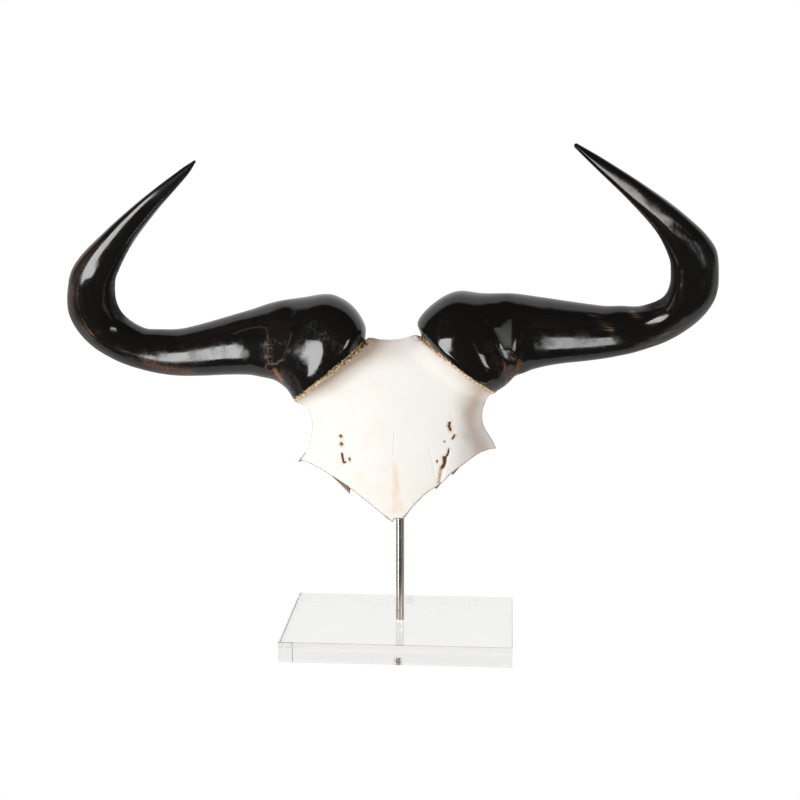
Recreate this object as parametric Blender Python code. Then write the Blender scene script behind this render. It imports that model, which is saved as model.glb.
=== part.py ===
# Wildebeest skull plate: a frontal bone with both horns, held up by a steel rod in a clear block.
# Origin at the middle of the block's underside, on the rod's axis; X along the block, -Y to the viewer.
import math

import bmesh
import bpy
from mathutils import Vector
from mathutils.geometry import delaunay_2d_cdt

mm = 0.001

# Stand, in millimetres
baseWidth = 220.0
baseDepth = 150.0
baseHeight = 20.0
baseEdge = 0.6
socketDepth = 10.3
rodRadius = 4.0
rodTopAbove = 250.0
boneHoleReach = 80.0
fitGap = 0.3
creaseAngle = math.radians(40.0)

# The skull hangs on the rod turned a little to one side
skullFoot = (-3.0, 0.0, 120.0)
skullRoll = math.radians(1.7)

# Bone plate, seen from the front in the skull's own frame: x to the right, z up from the lower tip
lowerTip = [(7.0, 4.9), (-0.5, 4.6), (-3.3, 1.2)]
leftLowerEdge = [
    (-3.3, 1.2), (-18.9, 14.4), (-31.3, 24.8), (-49.9, 38.7),
    (-65.0, 47.1), (-83.2, 52.5), (-92.6, 53.0),
]
leftCorner = (-99.6, 50.2)
leftNotch = [(-89.1, 65.0), (-83.4, 78.2), (-80.8, 93.4), (-85.5, 109.3), (-92.5, 114.4)]
leftSeat = [(-96.5, 119.5), (-24.3, 176.3)]
crownEdge = [(-20.6, 180.9), (-7.3, 178.3), (8.8, 178.4), (22.9, 181.9)]
crownBackFall = 16.0
rightSeat = [(98.5, 124.8), (27.0, 180.5)]
rightNotch = [(91.0, 118.4), (85.2, 105.1), (84.0, 96.4), (85.5, 86.8), (93.3, 70.4)]
rightCorner = (96.5, 62.0)
rightLowerEdge = [
    (89.5, 63.0), (79.2, 61.4), (64.4, 53.8), (54.9, 47.7),
    (44.9, 38.6), (29.4, 28.4), (18.1, 17.3), (7.0, 4.9),
]
leftCornerLevel = 56.0
rightCornerLevel = 63.0

# The plate's face: how far it stands before the rod's axis, its bulge, and where it turns back at the temples
plateFront = -14.0
plateBulge = 0.0022
templeStart = 58.0
templeSlope = 0.95
templeEase = 16.0
crownFall = 6.0
crownFallFrom = 150.0
crownFallTo = 184.0

# Its thickness: thin below, thick between the horns
plateThickness = 6.5
edgeThickness = 4.5
edgeThinning = 12.0
edgeRound = 1.6
thickBack = 36.0
backSeatShare = 0.84
thickReach = 16.0
thickFade = 26.0

# The knobbly collar that carries each horn
collarReach = 17.0
collarInset = 4.0
collarLip = 2.2
lipPlace = 2.5
lipWidth = 2.0
knobSize = 0.4
knobAcross = 0.95
knobUp = 0.8
knobSlant = 0.3

# The crack: a ragged edge on its left, a slope coming up to its right
crackLeft = [
    (40.8, 38.5), (41.0, 45.0), (43.0, 52.0), (42.8, 57.0),
    (46.8, 61.0), (46.0, 66.0), (50.5, 68.0), (51.5, 74.5),
]
crackRight = [(46.5, 42.0), (47.5, 49.0), (49.0, 57.0), (51.0, 65.0), (54.8, 74.5)]
crackDepth = 4.0

# Pits: middle, half width, half height, depth
pits = [
    ((-50.6, 85.6), 1.9, 1.9, 3.2),
    ((-50.3, 78.0), 2.0, 2.0, 3.2),
    ((-49.5, 64.0), 1.3, 4.8, 3.0),
    ((-42.8, 63.2), 1.2, 1.8, 2.5),
    ((53.5, 93.3), 1.6, 4.0, 3.6),
    ((57.1, 82.7), 1.4, 2.4, 3.0),
]

# Splinters of the inner layer below the lower edge: x where each starts, x where it ends, drop at that end
splinters = [
    (-65.0, -44.0, 7.5),
    (-19.0, -7.0, 1.6),
    (64.0, 55.0, 3.4),
    (45.5, 38.0, 3.6),
    (18.5, 8.0, 1.6),
]

# Horn sections from the seat on the bone to the tip, seen from the front.
# Lower or outer edge, then upper or inner edge, as (outward, up); how far the middle lies behind the
# rod's axis; depth front to back; squareness; and how far the outer edge leans forward.
leftHorn = {
    "seat": ((96.5, 119.5), (24.3, 176.3), 4.0, 80.0, 2.4, -0.16),
    "nose": ((103.0, 129.0), (24.3, 192.3), 3.5, 83.0, 2.3, -0.2),
    "boss": ((112.0, 135.0), (37.0, 210.5), 9.0, 86.0, 2.3, -0.2),
    "crown": ((118.0, 138.0), (57.0, 220.3), 12.0, 80.0, 2.3, -0.12),
    "shoulder": ((127.0, 140.5), (84.0, 217.5), 14.2, 68.0, 2.3, 0.0),
    "neck": ((140.0, 142.0), (111.0, 213.0), 19.5, 61.0, 2.2, 0.06),
    "stemIn": ((157.0, 142.0), (141.5, 204.0), 23.5, 54.0, 2.1, 0.1),
    "stemOut": ((209.0, 140.0), (205.5, 187.0), 33.0, 46.0, 2.0, 0.1),
    "bendIn": ((241.0, 144.0), (232.3, 186.2), 35.0, 42.0, 2.0, 0.04),
    "bendLow": ((273.0, 155.0), (247.0, 188.3), 35.0, 41.0, 2.0, 0.0),
    "bendOut": ((301.5, 176.5), (263.0, 200.0), 31.0, 42.0, 2.1, 0.0),
    "bendSide": ((314.5, 205.0), (268.0, 213.5), 22.5, 43.0, 2.3, 0.0),
    "bendUp": ((312.0, 232.0), (267.0, 227.5), 14.0, 42.0, 2.5, -0.02),
    "hookIn": ((300.5, 256.0), (262.5, 241.0), 5.0, 38.0, 2.6, 0.0),
    "hookMid": ((266.0, 286.5), (243.0, 271.0), -9.0, 27.0, 2.7, 0.12),
    "hookHigh": ((226.0, 316.0), (212.0, 305.0), -25.0, 17.0, 2.6, 0.25),
    "hookThin": ((184.0, 343.5), (177.5, 338.0), -40.0, 9.5, 2.1, 0.1),
    "tip": ((170.5, 351.0), (168.7, 348.6), -47.0, 4.5, 2.0, 0.0),
}
rightHorn = {
    "seat": ((98.5, 124.8), (27.0, 180.5), 6.0, 80.0, 2.5, 0.1),
    "nose": ((103.5, 128.5), (24.8, 193.0), 5.0, 83.0, 2.5, 0.11),
    "boss": ((110.0, 132.5), (41.5, 210.5), 4.5, 86.0, 2.5, 0.1),
    "crown": ((116.5, 138.0), (62.0, 220.0), 9.0, 82.0, 2.4, 0.06),
    "shoulder": ((125.0, 141.5), (87.0, 217.5), 11.0, 70.0, 2.3, 0.06),
    "neck": ((135.5, 144.5), (115.5, 216.0), 17.0, 61.0, 2.2, 0.14),
    "stemIn": ((154.0, 147.5), (143.5, 210.5), 22.5, 55.0, 2.1, 0.26),
    "stemOut": ((205.0, 151.5), (199.0, 200.5), 31.0, 46.0, 2.0, 0.3),
    "bendIn": ((236.5, 157.5), (226.3, 200.0), 30.0, 42.0, 2.0, 0.16),
    "bendLow": ((263.5, 168.0), (234.8, 200.0), 25.0, 41.0, 2.0, 0.0),
    "bendOut": ((288.5, 187.0), (253.5, 207.5), 15.0, 42.0, 2.1, -0.1),
    "bendSide": ((303.5, 210.5), (260.0, 220.5), 4.0, 43.0, 2.3, -0.1),
    "bendUp": ((305.5, 236.0), (261.0, 236.0), -3.0, 41.0, 2.4, 0.07),
    "hookIn": ((300.3, 260.0), (259.0, 248.5), -9.0, 36.0, 2.3, 0.04),
    "hookMid": ((271.5, 290.0), (246.0, 274.0), -21.0, 24.0, 2.8, -0.1),
    "hookHigh": ((236.0, 317.0), (219.5, 304.5), -37.0, 15.0, 3.0, -0.25),
    "hookThin": ((195.5, 344.0), (188.5, 335.5), -50.0, 8.5, 2.6, -0.36),
    "tip": ((173.6, 357.2), (171.0, 353.2), -56.0, 4.5, 2.0, -0.36),
}
seatGap = 0.45
seatGapReach = 8.0
tipPoint = 1.5

# Hollows pressed into the horns' fronts: a line in the front view, half width, depth at its start and end
leftHollows = [
    ([(-97.0, 206.0), (-101.0, 195.0), (-103.0, 186.0)], 8.0, 3.4, 1.4),
    ([(-108.0, 188.0), (-107.0, 176.0), (-109.0, 160.0)], 7.0, 1.0, 0.7),
]
rightHollows = [
    ([(93.0, 198.0), (95.0, 186.0), (99.0, 172.0), (105.0, 161.0)], 5.0, 2.6, 0.8),
    ([(106.0, 206.0), (106.0, 196.0), (106.0, 186.0)], 8.0, 3.0, 1.0),
    ([(114.0, 150.0), (117.0, 141.0), (112.0, 134.0)], 4.5, 1.6, 1.2),
    ([(108.0, 190.0), (110.0, 180.0), (111.0, 173.0)], 6.0, 1.2, 1.2),
]
hollowFade = 12.0

# Mesh fineness
ringSides = 30
bossRingStep = 5.6
hookRingStep = 11.0
plateGrid = 7.8
backGrid = 10.0
outlineStep = 5.0
collarRows = ((4.6, 0.25), (8.0, -0.25), (12.5, 0.25))
collarStep = 6.0
rimClearance = 3.0
pitSides = 6
crackHalfWidth = 0.3
barSides = 32


def clearScene():
    for item in list(bpy.data.objects):
        bpy.data.objects.remove(item, do_unlink=True)


def addMaterial(name, colour, roughness, metallic, alpha=1.0):
    material = bpy.data.materials.new(name)
    material.use_nodes = True
    shader = material.node_tree.nodes["Principled BSDF"]
    shader.inputs["Base Color"].default_value = (*colour, 1.0)
    shader.inputs["Roughness"].default_value = roughness
    shader.inputs["Metallic"].default_value = metallic
    shader.inputs["Alpha"].default_value = alpha
    return material


def addObject(name, mesh, material, parent=None):
    item = bpy.data.objects.new(name, mesh)
    bpy.context.scene.collection.objects.link(item)
    item.data.materials.append(material)
    item.parent = parent
    return item


def closedMesh(name, verts, faces):
    """Make a closed mesh from points in millimetres, with its faces turned outward."""
    mesh = bpy.data.meshes.new(name)
    mesh.from_pydata([Vector(v) * mm for v in verts], [], faces)
    work = bmesh.new()
    work.from_mesh(mesh)
    bmesh.ops.recalc_face_normals(work, faces=work.faces)
    work.to_mesh(mesh)
    work.free()
    mesh.shade_smooth()
    mesh.set_sharp_from_angle(angle=creaseAngle)
    return mesh


def smoothStep(low, high, value):
    t = min(max((value - low) / (high - low), 0.0), 1.0)
    return t * t * (3.0 - 2.0 * t)


def lineDistance(point, line):
    """Least distance from a point to a chain of points, and how far along the chain that is (0 to 1)."""
    best = (1e9, 0.0)
    total = sum((Vector(b) - Vector(a)).length for a, b in zip(line, line[1:]))
    passed = 0.0
    for a, b in zip(line, line[1:]):
        a, b = Vector(a), Vector(b)
        step = b - a
        t = min(max((Vector(point) - a).dot(step) / step.length_squared, 0.0), 1.0)
        best = min(best, ((Vector(point) - a - step * t).length, (passed + step.length * t) / total))
        passed += step.length
    return best


def splineThrough(places, values):
    """Smooth curve through lists of numbers standing at rising places."""
    count = len(places)
    slopes = []
    for i in range(count):
        before, after = max(i - 1, 0), min(i + 1, count - 1)
        span = places[after] - places[before]
        slopes.append([(b - a) / span for a, b in zip(values[before], values[after])])

    def curve(place):
        i = min(max(sum(1 for p in places if p <= place) - 1, 0), count - 2)
        span = places[i + 1] - places[i]
        t = (place - places[i]) / span
        h = (2 * t**3 - 3 * t**2 + 1, t**3 - 2 * t**2 + t, -2 * t**3 + 3 * t**2, t**3 - t**2)
        rows = zip(values[i], slopes[i], values[i + 1], slopes[i + 1])
        return [h[0] * a + h[1] * span * m + h[2] * b + h[3] * span * n for a, m, b, n in rows]

    return curve


def evenPoints(line, step, count=None):
    """Points at an even spacing on a smooth curve through a chain of points."""
    places = [0.0]
    for a, b in zip(line, line[1:]):
        places.append(places[-1] + (Vector(b) - Vector(a)).length)
    curve = splineThrough(places, line)
    count = count or max(round(places[-1] / step), 1)
    return [tuple(curve(places[-1] * i / count)) for i in range(count + 1)]


class Horn:
    """One horn as a loft through its sections, worked out in outward, back and up millimetres."""

    def __init__(self, edges):
        values = []
        for outer, inner, middle, depth, square, lean in edges.values():
            values.append([*outer, *inner, middle, depth / 2, square, lean])
        self.places = [0.0]
        for a, b in zip(values, values[1:]):
            outerStep = math.dist(a[0:2], b[0:2])
            innerStep = math.dist(a[2:4], b[2:4])
            self.places.append(self.places[-1] + (outerStep + innerStep) / 2)
        self.named = dict(zip(edges, self.places))
        self.curve = splineThrough(self.places, values)

    def middle(self, place):
        v = self.curve(min(max(place, 0.0), self.places[-1]))
        return Vector(((v[0] + v[2]) / 2, v[4], (v[1] + v[3]) / 2))

    def section(self, place):
        """Middle, half height vector, half depth vector (to the back), squareness and lean of the section."""
        v = self.curve(place)
        middle = self.middle(place)
        height = Vector(((v[0] - v[2]) / 2, 0.0, (v[1] - v[3]) / 2))
        along = self.middle(place + 1.5) - self.middle(place - 1.5)
        back = along.cross(height).normalized()
        if back.y < 0:
            back = -back
        turn = smoothStep(self.named["crown"], self.named["stemIn"], place)
        back = Vector((0.0, 1.0, 0.0)).lerp(back, turn).normalized()
        return middle, height, back * v[5], v[6], v[7]

    def point(self, place, angle):
        middle, height, back, square, lean = self.section(place)
        c, s = math.cos(angle), math.sin(angle)
        across = math.copysign(abs(c) ** (2 / square), c)
        behind = math.copysign(abs(s) ** (2 / square), s)
        forward = Vector((0.0, lean * height.length * across, 0.0))
        return middle + height * across + back * behind - forward, middle

    def ringPlaces(self):
        """Where the rings stand: close on the boss, wider along the hook, close again at the tip."""
        neck, end = self.named["stemIn"], self.places[-1]
        bossCount = round(neck / bossRingStep)
        hookCount = round((end - neck) / hookRingStep)
        near = [neck * i / bossCount for i in range(bossCount)]
        far = [neck + (end - neck) * i / hookCount for i in range(hookCount + 1)]
        return near + far


def seatShift(horn):
    """The small step off the bone that keeps a horn's flat seat clear of it."""
    outer = Vector(horn.curve(0.0)[0:2])
    inner = Vector(horn.curve(0.0)[2:4])
    along = (outer - inner).normalized()
    return Vector((-along.y, along.x)) * seatGap


def pressHollows(point, middle, side, hollows):
    """Move a point on the horn's front inward where a hollow runs."""
    if point.y > middle.y:
        return point
    flat = (point.x * side, point.z)
    depth = 0.0
    for line, halfWidth, deepStart, deepEnd in hollows:
        away, share = lineDistance(flat, line)
        deep = deepStart + (deepEnd - deepStart) * share
        depth = max(depth, deep * math.exp(-((away / halfWidth) ** 2)))
    facing = smoothStep(0.0, hollowFade, middle.y - point.y)
    return point + (middle - point).normalized() * depth * facing


def makeHorn(name, edges, side, hollows, parent, material):
    horn = Horn(edges)
    places = horn.ringPlaces()
    shift = seatShift(horn)
    verts = []
    for place in places:
        fade = 1.0 - smoothStep(0.0, seatGapReach, place)
        for i in range(ringSides):
            point, middle = horn.point(place, math.tau * i / ringSides)
            if place > 0.0:
                point = pressHollows(point, middle, side, hollows)
            point.x += shift.x * fade
            point.z += shift.y * fade
            verts.append((point.x * side, point.y, point.z))
    faces = [tuple(range(ringSides))]
    for r in range(len(places) - 1):
        for i in range(ringSides):
            j = (i + 1) % ringSides
            a, b = r * ringSides, (r + 1) * ringSides
            faces.append((a + i, a + j, b + j, b + i))
    end = horn.middle(horn.places[-1])
    along = (end - horn.middle(horn.places[-1] - tipPoint)).normalized()
    point = end + along * tipPoint
    verts.append((point.x * side, point.y, point.z))
    last = (len(places) - 1) * ringSides
    for i in range(ringSides):
        faces.append((last + i, last + (i + 1) % ringSides, len(verts) - 1))
    return addObject(name, closedMesh(name, verts, faces), material, parent)


def plateOutlines():
    """Front and back outlines of the plate, point for point, once round from the lower tip leftward."""
    leftBackTop = Vector(leftSeat[0]).lerp(Vector(leftSeat[1]), backSeatShare)
    rightBackTop = Vector(rightSeat[0]).lerp(Vector(rightSeat[1]), backSeatShare)
    crownBack = [leftBackTop] + [(x, z - crownBackFall) for x, z in crownEdge] + [rightBackTop]
    pairs = [
        (leftLowerEdge + [leftCorner], None),
        ([leftCorner] + leftNotch + [leftSeat[0]], None),
        (leftSeat, [leftSeat[0], leftBackTop]),
        ([leftSeat[1]] + crownEdge + [rightSeat[1]], crownBack),
        (rightSeat[::-1], [rightBackTop, rightSeat[0]]),
        ([rightSeat[0]] + rightNotch + [rightCorner], None),
        ([rightCorner] + rightLowerEdge, None),
    ]
    front, back = [], []
    for frontLine, backLine in pairs:
        points = evenPoints(frontLine, outlineStep)
        front += points[:-1]
        if backLine is None:
            back += points[:-1]
        else:
            back += evenPoints(backLine, outlineStep, len(points) - 1)[:-1]
    front += lowerTip[:-1]
    back += lowerTip[:-1]
    return front, [(x, z - splinterDrop(x) if z < cornerLevel(x) else z) for x, z in back]


def cornerLevel(x):
    """Height below which an outline point belongs to the lower edge."""
    return leftCornerLevel if x < 0 else rightCornerLevel


class Plate:
    """Front and back surfaces of the bone, as depths over its front view."""

    def __init__(self, outline, horns):
        self.outline = outline
        self.ring = outline + [outline[0]]
        self.horns = horns

    def seat(self, point):
        """Distance to the nearer horn seat, and the depths of that seat's front and back there."""
        side = -1 if point[0] < 0 else 1
        line = leftSeat if side < 0 else rightSeat
        away, along = lineDistance(point, line)
        middle, height, back, square, lean = self.horns[side].section(0.0)
        across = 1.0 - 2.0 * along
        reach = back.y * max(1.0 - abs(across) ** square, 0.0) ** (1.0 / square) - collarInset
        reach = max(reach, edgeThickness / 2)
        centre = middle.y - lean * height.length * across
        return away, centre - reach, centre + reach

    def bare(self, point):
        x, z = point
        wide = max(abs(x) - templeStart, 0.0)
        turn = templeSlope * wide * wide / (wide + templeEase)
        fall = crownFall * smoothStep(crownFallFrom, crownFallTo, z) ** 2
        return plateFront + plateBulge * x * x + turn + fall

    def front(self, point):
        away, seatFront, _ = self.seat(point)
        depth = self.bare(point)
        collar = 1.0 - smoothStep(0.0, collarReach, away)
        depth += min(seatFront - depth, 0.0) * collar
        lip = math.exp(-(((away - lipPlace) / lipWidth) ** 2))
        knobs = math.sin(point[0] * knobAcross) * math.cos(point[1] * knobUp + point[0] * knobSlant)
        depth -= collarLip * lip * (1.0 - knobSize + knobSize * knobs)
        edge, _ = lineDistance(point, self.ring)
        rounding = max(1.0 - edge / edgeRound, 0.0)
        return depth + edgeRound * rounding * rounding + self.damage(point)

    def damage(self, point):
        depth = 0.0
        for (x, z), halfWidth, halfHeight, deep in pits:
            away = math.hypot((point[0] - x) / halfWidth, (point[1] - z) / halfHeight)
            depth = max(depth, deep * (1.0 - away))
        left, right = crackSpan(point[1])
        if left is not None and left < point[0] < right:
            depth = max(depth, crackDepth * (right - point[0]) / (right - left))
        return depth

    def back(self, point):
        away, _, seatBack = self.seat(point)
        thin = self.bare(point) + plateThickness
        crownAway, _ = lineDistance(point, leftSeat + rightSeat[::-1])
        edge, _ = lineDistance(point, self.ring)
        thin -= (plateThickness - edgeThickness) * max(1.0 - edge / edgeThinning, 0.0)
        thick = 1.0 - smoothStep(thickReach, thickReach + thickFade, crownAway)
        depth = thin + (thickBack - thin) * thick
        collar = 1.0 - smoothStep(0.0, collarReach, away)
        depth += (seatBack - depth) * collar
        return max(depth, self.front(point) + edgeThickness - edgeRound / 2)


def crackSpan(z):
    """Left and right x of the crack at a height, or nothing where it doesn't run."""
    if not crackLeft[0][1] < z < crackLeft[-1][1]:
        return None, None
    return heightLine(crackLeft, z), heightLine(crackRight, z)


def heightLine(line, z):
    z = min(max(z, line[0][1]), line[-1][1])
    for (x0, z0), (x1, z1) in zip(line, line[1:]):
        if z <= z1:
            return x0 + (x1 - x0) * (z - z0) / (z1 - z0)
    return line[-1][0]


def splinterDrop(x):
    drop = 0.0
    for start, end, deep in splinters:
        share = (x - start) / (end - start)
        if 0.0 < share <= 1.0:
            drop = deep * share
    return drop


def innerPoints(outline, grid, extra, clearance):
    """Points inside the outline: the extra ones, then an even triangular grid that keeps clear of them."""
    ring = outline + [outline[0]]
    left, right = min(x for x, _ in outline), max(x for x, _ in outline)
    low, high = min(z for _, z in outline), max(z for _, z in outline)
    points = list(extra)
    rowStep = grid * math.sqrt(3) / 2
    for row in range(int((high - low) / rowStep) + 1):
        for column in range(int((right - left) / grid) + 1):
            spot = (left + grid * (column + 0.5 * (row % 2)), low + rowStep * row)
            if not insideOutline(spot, outline) or lineDistance(spot, ring)[0] < clearance:
                continue
            if all(math.dist(spot, other) > clearance for other in extra):
                points.append(spot)
    return points


def insideOutline(point, outline):
    inside = False
    for (x0, z0), (x1, z1) in zip(outline, outline[1:] + outline[:1]):
        if (z0 > point[1]) != (z1 > point[1]):
            if point[0] < x0 + (x1 - x0) * (point[1] - z0) / (z1 - z0):
                inside = not inside
    return inside


def frontFeatures(outline):
    """Extra points on the front: inside the rim, along the collars, round the pits, down the crack."""
    ring = outline + [outline[0]]
    points = insetRing(outline, edgeRound)
    for a, b in (leftSeat, rightSeat[::-1]):
        run = Vector(b) - Vector(a)
        inward = Vector((run.y, -run.x)).normalized()
        count = round(run.length / collarStep)
        for rowAt, shift in collarRows:
            for i in range(1, count):
                spot = Vector(a) + run * (i + shift) / count + inward * rowAt
                if insideOutline(spot, outline) and lineDistance(spot, ring)[0] > rimClearance:
                    points.append(tuple(spot))
    for (x, z), halfWidth, halfHeight, _ in pits:
        points.append((x, z))
        for i in range(pitSides):
            angle = math.tau * i / pitSides
            points.append((x + halfWidth * math.cos(angle), z + halfHeight * math.sin(angle)))
    for x, z in crackLeft[1:-1]:
        points.append((x - crackHalfWidth, z))
        points.append((x + crackHalfWidth, z))
    points += crackRight[1:-1]
    return points


def insetRing(outline, inset):
    points = []
    for i, point in enumerate(outline):
        before, after = Vector(outline[i - 1]), Vector(outline[(i + 1) % len(outline)])
        along = (after - before).normalized()
        spot = Vector(point) + Vector((along.y, -along.x)) * inset
        if lineDistance(spot, outline + [outline[0]])[0] > inset * 0.6:
            points.append(tuple(spot))
    return points


def triangulate(outline, inner):
    """Triangles over the outline and the points in it; the outline's points come first, in order."""
    loop = list(range(len(outline)))
    flat = [Vector(p) for p in outline + inner]
    verts, _, faces, _, _, _ = delaunay_2d_cdt(flat, [], [loop], 1, 1e-5)
    return [tuple(v) for v in verts], [tuple(f) for f in faces]


def makePlate(name, horns, parent, material):
    outline, backOutline = plateOutlines()
    plate = Plate(outline, horns)
    frontInner = innerPoints(outline, plateGrid, frontFeatures(outline), plateGrid * 0.45)
    frontSpots, frontFaces = triangulate(outline, frontInner)
    backInner = innerPoints(backOutline, backGrid, [], backGrid * 0.4)
    backSpots, backFaces = triangulate(backOutline, backInner)
    verts = [(x, plate.front((x, z)), z) for x, z in frontSpots]
    faces = list(frontFaces)
    start = len(verts)
    verts += [(x, plate.back((x, z)), z) for x, z in backSpots]
    faces += [tuple(start + i for i in reversed(face)) for face in backFaces]
    count = len(outline)
    for i in range(count):
        j = (i + 1) % count
        faces.append((i, j, start + j, start + i))
    bone = addObject(name, closedMesh(name, verts, faces), material, parent)
    holeTop = rodTopAbove + fitGap
    drillHole(bone, holeTop - boneHoleReach, holeTop, material)
    return bone


def roundBar(name, radius, low, high, material):
    """An upright round bar on the rod's axis, from one height to another, in millimetres."""
    mesh = bpy.data.meshes.new(name)
    work = bmesh.new()
    bmesh.ops.create_cone(work, cap_ends=True, segments=barSides, radius1=radius * mm,
                          radius2=radius * mm, depth=(high - low) * mm)
    work.to_mesh(mesh)
    work.free()
    mesh.shade_smooth()
    mesh.set_sharp_from_angle(angle=creaseAngle)
    bar = addObject(name, mesh, material)
    bar.location = (0.0, 0.0, (low + high) / 2 * mm)
    return bar


def drillHole(piece, low, high, material):
    """Cut the rod's hole into a piece, between two heights above the floor."""
    drill = roundBar(piece.name + "_drill", rodRadius + fitGap, low, high, material)
    drill.hide_render = True
    drill.display_type = "WIRE"
    cut = piece.modifiers.new("rod hole", "BOOLEAN")
    cut.operation = "DIFFERENCE"
    cut.object = drill


def makeBase(name, material):
    mesh = bpy.data.meshes.new(name)
    work = bmesh.new()
    bmesh.ops.create_cube(work, size=1.0)
    bmesh.ops.scale(work, vec=(baseWidth * mm, baseDepth * mm, baseHeight * mm), verts=work.verts)
    bmesh.ops.bevel(work, geom=work.edges[:], offset=baseEdge * mm, segments=1, affect="EDGES")
    work.to_mesh(mesh)
    work.free()
    base = addObject(name, mesh, material)
    base.location = (0.0, 0.0, baseHeight / 2 * mm)
    drillHole(base, baseHeight - socketDepth, baseHeight + socketDepth, material)
    return base


def makeRod(name, material):
    return roundBar(name, rodRadius, baseHeight - socketDepth + fitGap, rodTopAbove, material)


clearScene()
acrylic = addMaterial("clear_acrylic", (0.93, 0.94, 0.94), 0.02, 0.0, 0.25)
steel = addMaterial("polished_steel", (0.72, 0.72, 0.72), 0.15, 1.0)
boneMatter = addMaterial("pale_bone", (0.93, 0.89, 0.82), 0.55, 0.0)
hornMatter = addMaterial("black_horn", (0.02, 0.018, 0.017), 0.12, 0.0)

skull = bpy.data.objects.new("skull", None)
bpy.context.scene.collection.objects.link(skull)
skull.location = Vector(skullFoot) * mm
skull.rotation_euler = (0.0, -skullRoll, 0.0)

makeBase("base", acrylic)
makeRod("rod", steel)
makeHorn("horn_left", leftHorn, -1, leftHollows, skull, hornMatter)
makeHorn("horn_right", rightHorn, 1, rightHollows, skull, hornMatter)
makePlate("skull_plate", {-1: Horn(leftHorn), 1: Horn(rightHorn)}, skull, boneMatter)
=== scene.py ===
import math

import bmesh
import bpy
import numpy as np
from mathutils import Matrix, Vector, noise
from mathutils.geometry import delaunay_2d_cdt


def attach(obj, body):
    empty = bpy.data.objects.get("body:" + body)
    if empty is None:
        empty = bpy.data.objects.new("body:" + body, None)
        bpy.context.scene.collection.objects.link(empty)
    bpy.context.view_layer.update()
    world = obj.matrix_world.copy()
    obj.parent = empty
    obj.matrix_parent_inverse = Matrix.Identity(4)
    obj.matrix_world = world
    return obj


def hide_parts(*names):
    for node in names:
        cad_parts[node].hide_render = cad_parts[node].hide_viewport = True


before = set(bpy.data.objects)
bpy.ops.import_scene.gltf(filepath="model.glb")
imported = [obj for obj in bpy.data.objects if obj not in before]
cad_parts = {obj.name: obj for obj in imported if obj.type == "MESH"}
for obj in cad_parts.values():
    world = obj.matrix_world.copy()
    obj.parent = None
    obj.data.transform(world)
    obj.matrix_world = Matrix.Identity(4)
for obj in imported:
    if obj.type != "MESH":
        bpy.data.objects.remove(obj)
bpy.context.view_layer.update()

mm = 0.001

# The skull's own frame: x to the right and z up from the bone's lower tip, in millimetres.
# The viewer stands on the -Y side.
skull = {
    "foot": (-3.0, 0.0, 120.0),
    "roll": math.radians(1.7),
}


def toWorld(points):
    # skull millimetres to the part's metres
    c, s = math.cos(skull["roll"]), math.sin(skull["roll"])
    x, y, z = np.asarray(points, float).T
    turned = np.stack([x * c - z * s, y, x * s + z * c], -1)
    return (turned + np.array(skull["foot"])) * mm


# Numbers in bulk
def smoothStep(low, high, value):
    t = np.clip((value - low) / (high - low), 0.0, 1.0)
    return t * t * (3.0 - 2.0 * t)


def bump(distance, halfWidth):
    return np.exp(-((distance / halfWidth) ** 2))


def lineDistance(points, line):
    # least distance from each point to a chain of points, and how far along the chain that is
    line = np.asarray(line, float)
    starts, steps = line[:-1], np.diff(line, axis=0)
    lengths = np.hypot(steps[:, 0], steps[:, 1])
    passed = np.cumsum(lengths) - lengths
    away, share = np.empty(len(points)), np.empty(len(points))
    for low in range(0, len(points), 4000):
        part = points[low:low + 4000, None, :] - starts
        t = np.clip((part * steps).sum(-1) / lengths**2, 0.0, 1.0)
        gap = np.linalg.norm(part - t[..., None] * steps, axis=-1)
        best = gap.argmin(1)
        rows = np.arange(len(best))
        away[low:low + 4000] = gap[rows, best]
        share[low:low + 4000] = (passed[best] + t[rows, best] * lengths[best]) / lengths.sum()
    return away, share


def near(points, line):
    return lineDistance(points, line)[0]


def curveThrough(places, rows, at):
    # smooth curve through rows of numbers at rising places
    places, rows = np.asarray(places, float), np.asarray(rows, float)
    last = len(places) - 1
    before = np.maximum(np.arange(last + 1) - 1, 0)
    after = np.minimum(np.arange(last + 1) + 1, last)
    slopes = (rows[after] - rows[before]) / (places[after] - places[before])[:, None]
    i = np.clip(np.searchsorted(places, at, side="right") - 1, 0, last - 1)
    span = (places[i + 1] - places[i])[:, None]
    t = (np.asarray(at) - places[i])[:, None] / span
    start = (2 * t**3 - 3 * t**2 + 1) * rows[i] + (t**3 - 2 * t**2 + t) * span * slopes[i]
    return start + (3 * t**2 - 2 * t**3) * rows[i + 1] + (t**3 - t**2) * span * slopes[i + 1]


def evenPoints(line, step, count=None):
    line = np.asarray(line, float)
    places = np.concatenate([[0.0], np.cumsum(np.hypot(*np.diff(line, axis=0).T))])
    count = count or max(round(places[-1] / step), 1)
    return curveThrough(places, line, np.linspace(0.0, places[-1], count + 1))


def roughness(points, size, seed=0.0):
    # soft random field from -1 to 1, its lumps about the given size across
    return np.array([noise.noise(Vector(p) / size + Vector((seed, seed, seed))) for p in points])


def inSpace(flat):
    # points of the front view with a third number, for the random field
    return np.column_stack([flat, flat[:, 0] * 0.0])


def closed(outline):
    return np.vstack([outline, outline[:1]])


def insideOutline(points, outline):
    inside = np.zeros(len(points), bool)
    x, z = points[:, 0], points[:, 1]
    for (x0, z0), (x1, z1) in zip(outline, np.roll(outline, -1, axis=0)):
        if z0 != z1:
            crosses = (z0 > z) != (z1 > z)
            inside ^= crosses & (x < x0 + (x1 - x0) * (z - z0) / (z1 - z0))
    return inside


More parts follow.
